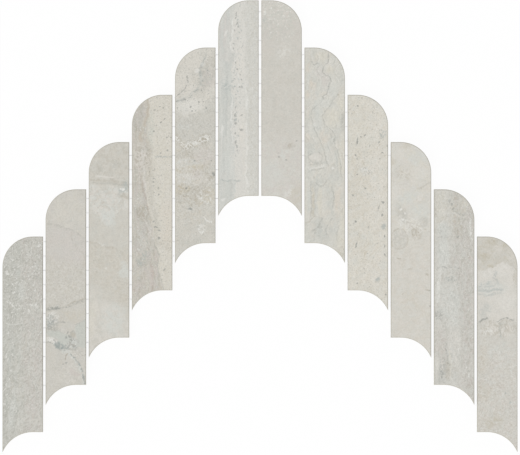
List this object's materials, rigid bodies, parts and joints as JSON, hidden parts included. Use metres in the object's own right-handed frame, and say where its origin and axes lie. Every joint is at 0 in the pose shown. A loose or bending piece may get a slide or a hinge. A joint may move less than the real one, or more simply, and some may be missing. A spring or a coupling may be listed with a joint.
{
  "type": "chevron porcelain mosaic",
  "caption": "Mesh-backed chevron mosaic sheet of stone-look porcelain strips, each with a round crown and a hollow foot, stepped down from a central peak, for walls and floors.",
  "frame": {"origin": "middle of the sheet's box, on the plane that the mesh lies on", "axes": "+Z out of the printed face, +Y along the strips towards the peak, +X across the strips"},
  "size_m": [0.3772, 0.331, 0.0095],
  "materials": {
    "porcelain_grey": "matte",
    "porcelain_greige": "matte",
    "porcelain_cream": "matte",
    "glass_fibre_mesh": "matte"
  },
  "bodies": {
    "root": {"tile_left_1": "porcelain_grey", "tile_left_2": "porcelain_greige", "tile_left_3": "porcelain_greige", "tile_left_4": "porcelain_greige", "tile_left_5": "porcelain_grey", "tile_left_6": "porcelain_grey", "tile_right_1": "porcelain_greige", "tile_right_2": "porcelain_cream", "tile_right_3": "porcelain_cream", "tile_right_4": "porcelain_cream", "tile_right_5": "porcelain_grey", "tile_right_6": "porcelain_greige", "mesh_backing": "glass_fibre_mesh"}
  },
  "joints": []
}
